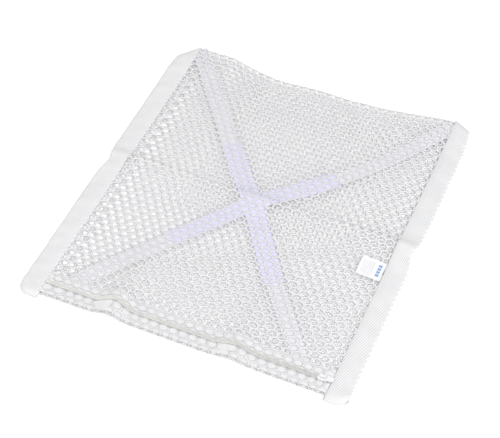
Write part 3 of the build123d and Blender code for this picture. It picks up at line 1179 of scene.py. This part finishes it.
@dataclass
class InnerStraps:
    """Two crossed straps inside the bag: white webbing outside, bands in the middle."""

    lie: Lie
    wardrobe: Wardrobe
    strap_width: float = 20.0 * MM
    band_width: float = 24.0 * MM
    thick: float = 0.8 * MM
    net_room: float = 1.9 * MM
    under_slider: float = 1.9 * MM

    def lay(self, obj: Piece, share: float, bow: float, way: tuple) -> None:
        """Lay a flat strip between the nets.

        Args:
            obj: the strip, in place in plan, its Z around 0.
            share: how high between the two nets it lies, from 0 to 1.
            bow: how far its middle is pushed sideways.
            way: its start and its end in plan.
        """
        points = points_of(obj)
        start, end = np.array(way[0]), np.array(way[1])
        run = end - start
        length = np.hypot(*run)
        run = run / length
        along = (points[:, :2] - start) @ run
        across = (points[:, :2] - start) @ np.array((-run[1], run[0]))
        chart(obj, np.stack([along, across], axis=1))
        side = bow * np.sin(np.clip(along / length, 0.0, 1.0) * math.pi)
        x = points[:, 0] - run[1] * side
        y = points[:, 1] + run[0] * side
        floor, top = self.lie.net_floor(x, y), self.lie.net_top(x, y)
        room = np.clip(top - floor - self.net_room, 0.0, None)
        wave = 0.15 * MM * np.sin(along * 160.0) * np.cos(across * 90.0)
        level = floor + self.thick + room * share + wave
        near_slider = 1.0 - ease((y + 0.196) / 0.020)
        level = level + (np.minimum(level, self.under_slider) - level) * near_slider
        put_points(obj, np.stack([x, y, level + points[:, 2]], axis=1))

    def strip(self, name: str, start: tuple, end: tuple, width: float) -> Piece:
        """A thin straight strip with softly rounded edges, cut into short lengths."""
        length = math.dist(start, end)
        obj = block(name, (0.0, -width / 2, -self.thick / 2), (length, width / 2, self.thick / 2))
        bevel_along(obj, 0, 0.3 * self.thick, 2)
        cut_across(obj, 0, int(length / (3.0 * MM)))
        cut_across(obj, 1, 7)
        angle = math.atan2(end[1] - start[1], end[0] - start[0])
        turn = np.array(Matrix.Rotation(angle, 3, "Z"))
        put_points(obj, points_of(obj) @ turn.T + (*start, 0.0))
        tidy_normals(obj)
        return obj

    def strap(self, name: str) -> Piece:
        """White webbing from the corner seam to its band."""
        arm = ARMS[name]
        bow = (-4.0 if name == "rear_right" else 1.0) * MM
        obj = self.strip(f"{name}_webbing", arm.band_end, arm.corner, self.strap_width)
        self.lay(obj, arm.share, bow, (arm.band_end, arm.corner))
        smooth_shade(obj, math.radians(50.0))
        self.wardrobe.dress(obj, Slot.STRAP)
        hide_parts(f"{name}_strap")
        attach(obj, name.split("_")[0] + "_half")
        return obj

    def band(self, front: str, rear: str) -> Piece:
        """One fastening band, which runs through the crossing from arm to arm."""
        halves = []
        for name in (front, rear):
            arm = ARMS[name]
            obj = self.strip(f"{name}_half_band", CROSSING, arm.band_end, self.band_width)
            self.lay(obj, arm.share, 0.0, (CROSSING, arm.band_end))
            halves.append(obj)
        obj = join(halves, f"{front}_to_{rear}_band")
        smooth_shade(obj, math.radians(50.0))
        self.wardrobe.dress(obj, Slot.BAND)
        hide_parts(f"{front}_band", f"{rear}_band")
        cross_crease(obj)
        return obj

    def thread(self, half: str, place: str) -> Piece:
        """Rows of stitches on the two arms of one half of the bag.

        Args:
            half: "front" or "rear".
            place: "band_stitches", a frame where band and strap meet, or
                "corner_tacks", a row across the strap at its corner.

        Returns:
            The thread as one piece.
        """
        rows = []
        for name in (f"{half}_left", f"{half}_right"):
            arm = ARMS[name]
            inner, outer = np.array(arm.band_end), np.array(arm.corner)
            run = (outer - inner) / math.dist(inner, outer)
            side = np.array((-run[1], run[0])) * (self.strap_width / 2 - 2.0 * MM)
            if place == "band_stitches":
                near, far = inner - 3.0 * MM * run, inner - 15.0 * MM * run
                frame_ends = (near + side, near - side, far - side, far + side, near + side)
            else:
                middle = outer - 12.0 * MM * run
                frame_ends = (middle + side, middle - side)
            top = self.thick / 2 + 0.1 * MM
            stitches = [
                Stitching().row("thread", (*a, top), (*b, top)) for a, b in zip(frame_ends, frame_ends[1:])
            ]
            outline = join(stitches, "thread")
            self.lay(outline, arm.share, 0.0, (arm.band_end, arm.corner))
            rows.append(outline)
        obj = join(rows, f"{half}_{place.replace('_', '_thread_')}")
        smooth_shade(obj)
        self.wardrobe.dress(obj, Slot.THREAD)
        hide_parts(f"{half}_{place}")
        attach(obj, f"{half}_half")
        return obj

    def build(self) -> list:
        """Make the straps, their stitches and the bands."""
        made = [self.strap(name) for name in ARMS]
        for half in ("front", "rear"):
            made += [self.thread(half, "band_stitches"), self.thread(half, "corner_tacks")]
        made.append(self.band("front_right", "rear_left"))
        made.append(self.band("front_left", "rear_right"))
        return made


@dataclass
class CareLabel:
    """Satin label that leaves the right tape's seam and lies on the net."""

    lie: Lie
    wardrobe: Wardrobe
    thick: float = 0.4 * MM
    free_lift: float = 1.6 * MM
    above_net: float = 0.7 * MM
    above_tape: float = 0.1 * MM
    shorter: float = 3.0 * MM
    front_edge_forward: float = 3.0 * MM
    rear_edge_forward: float = 4.0 * MM

    def build(self) -> list:
        """Make the label, a little smaller and further forward than its CAD plate."""
        low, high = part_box("care_label")
        low.x += self.shorter
        low.y -= self.front_edge_forward
        high.y -= self.rear_edge_forward
        label = block("care_label_satin", (low.x, low.y, 0.0), (high.x, high.y, self.thick))
        cut_across(label, 0, 16)
        cut_across(label, 1, 12)
        tidy_normals(label)
        points = points_of(label)
        along = (points[:, 0] - low.x) / (high.x - low.x)
        across = (points[:, 1] - low.y) / (high.y - low.y)
        chart(label, np.stack([along, across], axis=1))
        x, y = points[:, 0], points[:, 1]
        bed = self.lie.net_top(x, y) + self.above_net
        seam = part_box("right_tape_front")[1].z + self.above_tape
        join_seam = ease((along - 0.86) / 0.14)
        curl = self.free_lift * np.clip(1.0 - along / 0.35, 0.0, 1.0) ** 2 * (0.6 + 0.5 * across)
        z = bed * (1.0 - join_seam) + seam * join_seam + curl + points[:, 2]
        put_points(label, np.stack([x, y, z], axis=1))
        smooth_shade(label, math.radians(50.0))
        self.wardrobe.dress(label, Slot.LABEL)
        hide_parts("care_label")
        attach(label, "label")
        return [label]


# --- Studio ----------------------------------------------------------------------------


@dataclass
class Studio:
    """Plain white floor, soft light from the front right, and the camera."""

    eye: tuple = (0.44869, -1.00963, 1.26454)
    aim: tuple = (0.0003, -0.0217, 0.0)
    roll: float = math.radians(-0.968)
    lens: float = 101.49
    floor_size: float = 8.0
    floor_drop: float = 0.3 * MM
    floor_glow: float = 0.05
    sky_strength: float = 0.75
    key_place: tuple = (1.7, -2.3, 3.5)
    key_size: float = 1.4
    key_power: float = 140.0

    def build(self) -> None:
        """Set up floor, lights, world and camera."""
        self._floor()
        self._lights()
        self._camera()

    def _floor(self) -> None:
        """A plain white floor with a faint glow of its own."""
        drop_selection()
        bpy.ops.mesh.primitive_plane_add(size=self.floor_size, location=(0.0, 0.0, -self.floor_drop))
        floor = bpy.context.object
        floor.name = "studio_floor"
        recipe = Recipe("studio_floor")
        recipe.shader.inputs["Base Color"].default_value = (0.93, 0.93, 0.93, 1.0)
        recipe.gloss(0.9, 0.0, 0.1)
        recipe.shader.inputs["Emission Color"].default_value = (1.0, 1.0, 1.0, 1.0)
        recipe.shader.inputs["Emission Strength"].default_value = self.floor_glow
        floor.data.materials.append(recipe.material)

    def _lights(self) -> None:
        """A large soft key light from the front right and an even white sky."""
        world = bpy.data.worlds.new("studio")
        world.use_nodes = True
        sky = world.node_tree.nodes["Background"]
        sky.inputs["Color"].default_value = (1.0, 1.0, 1.0, 1.0)
        sky.inputs["Strength"].default_value = self.sky_strength
        scene = bpy.context.scene
        scene.world = world
        scene.view_settings.view_transform = "Standard"
        scene.view_settings.look = "None"
        scene.view_settings.exposure = 0.0
        drop_selection()
        bpy.ops.object.light_add(type="AREA", location=self.key_place)
        lamp = bpy.context.object
        lamp.name = "key_light"
        lamp.data.size = self.key_size
        lamp.data.energy = self.key_power
        lamp.rotation_euler = (-Vector(self.key_place)).to_track_quat("-Z", "Y").to_euler()

    def _camera(self) -> None:
        """The camera, looking down at the bag from its front right."""
        drop_selection()
        bpy.ops.object.camera_add(location=self.eye)
        camera = bpy.context.object
        gaze = Vector(self.aim) - Vector(self.eye)
        turn = gaze.to_track_quat("-Z", "Y").to_matrix().to_4x4() @ Matrix.Rotation(self.roll, 4, "Z")
        camera.matrix_world = Matrix.Translation(self.eye) @ turn
        camera.data.lens = self.lens
        camera.data.sensor_width = 36.0
        camera.data.clip_start = 0.01
        camera.data.clip_end = 30.0
        bpy.context.scene.camera = camera


# --- Making ----------------------------------------------------------------------------


def main() -> None:
    """Build the studio and every piece of the bag in order."""
    logging.basicConfig(level=logging.INFO, format="%(message)s")
    Studio().build()
    wardrobe = Wardrobe()
    lie = Lie()
    makers = (
        Net(lie, wardrobe),
        SideTape(lie, wardrobe, -1.0),
        SideTape(lie, wardrobe, 1.0),
        Zipper(lie, wardrobe),
        InnerStraps(lie, wardrobe),
        CareLabel(lie, wardrobe),
    )
    for maker in makers:
        for piece in maker.build():
            LOG.info("%s: %d points", piece.name, len(piece.data.vertices))


if __name__ == "__main__":
    main()
